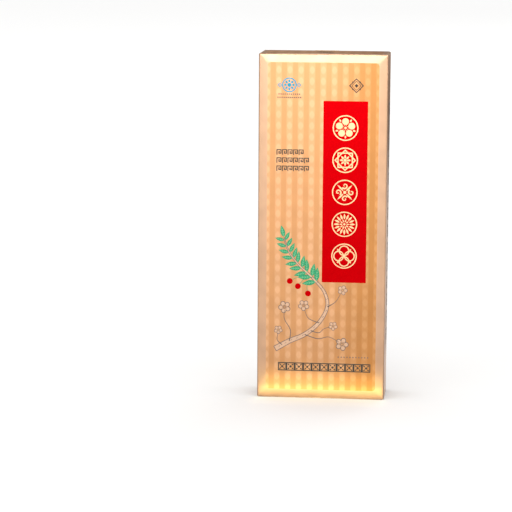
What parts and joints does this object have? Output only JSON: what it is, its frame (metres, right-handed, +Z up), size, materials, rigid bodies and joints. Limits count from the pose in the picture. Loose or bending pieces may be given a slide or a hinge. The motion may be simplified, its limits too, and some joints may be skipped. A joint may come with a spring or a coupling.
{
  "type": "gift carton of sliced ginseng",
  "caption": "Tall gold folding carton with a hinged tuck lid, dust flaps and paper seals, filled with small packs of dried root slices",
  "frame": {"origin": "middle of the base, on the surface that the carton stands on", "axes": "+Z up, the printed front towards -Y, the right-hand narrow side towards +X, the seals at the back on +Y"},
  "size_m": [0.126, 0.0501, 0.3401],
  "materials": {
    "gold_board": "satin metallised gold outside, grey board inside",
    "orange_gold_board": "satin metallised orange gold outside, white inside",
    "seal_paper": "satin foil paper with embossed rings",
    "dried_root": "dried translucent root, slightly waxy"
  },
  "bodies": {
    "carton": {"front_panel": "gold_board", "back_panel": "gold_board", "left_panel": "gold_board", "right_panel": "gold_board", "glue_flap": "gold_board", "bottom_panel": "gold_board", "bottom_tuck_flap": "gold_board", "bottom_dust_flap_left": "gold_board", "bottom_dust_flap_right": "gold_board", "seal_half_on_back": "seal_paper", "seal_under_base": "seal_paper", "pack_01_box": "orange_gold_board", "pack_01_slices": "dried_root", "pack_01_seal": "seal_paper", "pack_02_box": "orange_gold_board", "pack_02_slices": "dried_root", "pack_02_seal": "seal_paper", "pack_03_box": "orange_gold_board", "pack_03_slices": "dried_root", "pack_03_seal": "seal_paper", "pack_04_box": "orange_gold_board", "pack_04_slices": "dried_root", "pack_04_seal": "seal_paper", "pack_05_box": "orange_gold_board", "pack_05_slices": "dried_root", "pack_05_seal": "seal_paper", "pack_06_box": "orange_gold_board", "pack_06_slices": "dried_root", "pack_06_seal": "seal_paper", "pack_07_box": "orange_gold_board", "pack_07_slices": "dried_root", "pack_07_seal": "seal_paper", "pack_08_box": "orange_gold_board", "pack_08_slices": "dried_root", "pack_08_seal": "seal_paper", "pack_09_box": "orange_gold_board", "pack_09_slices": "dried_root", "pack_09_seal": "seal_paper", "pack_10_box": "orange_gold_board", "pack_10_slices": "dried_root", "pack_10_seal": "seal_paper"},
    "lid": {"lid_panel": "gold_board", "seal_half_on_lid": "seal_paper"},
    "tuck": {"lid_tuck_flap": "gold_board"},
    "dust_left": {"dust_flap_left": "gold_board"},
    "dust_right": {"dust_flap_right": "gold_board"}
  },
  "joints": [
    {"name": "lid_crease", "type": "hinge", "parent": "carton", "child": "lid", "pos_m": [0, -0.0247, 0.3397], "axis": [1, 0, 0], "range_deg": [0, 180]},
    {"name": "tuck_crease", "type": "hinge", "parent": "lid", "child": "tuck", "pos_m": [0, 0.0237, 0.3397], "axis": [1, 0, 0], "range_deg": [0, 45]},
    {"name": "dust_left_crease", "type": "hinge", "parent": "carton", "child": "dust_left", "pos_m": [-0.0627, 0, 0.33895], "axis": [0, -1, 0], "range_deg": [0, 90]},
    {"name": "dust_right_crease", "type": "hinge", "parent": "carton", "child": "dust_right", "pos_m": [0.0627, 0, 0.33895], "axis": [0, 1, 0], "range_deg": [0, 90]}
  ],
  "couplings": [
    {"joint": "tuck_crease", "follows": "lid_crease", "ratio": 0.25},
    {"joint": "dust_left_crease", "follows": "lid_crease", "ratio": 0.5},
    {"joint": "dust_right_crease", "follows": "lid_crease", "ratio": 0.5}
  ]
}
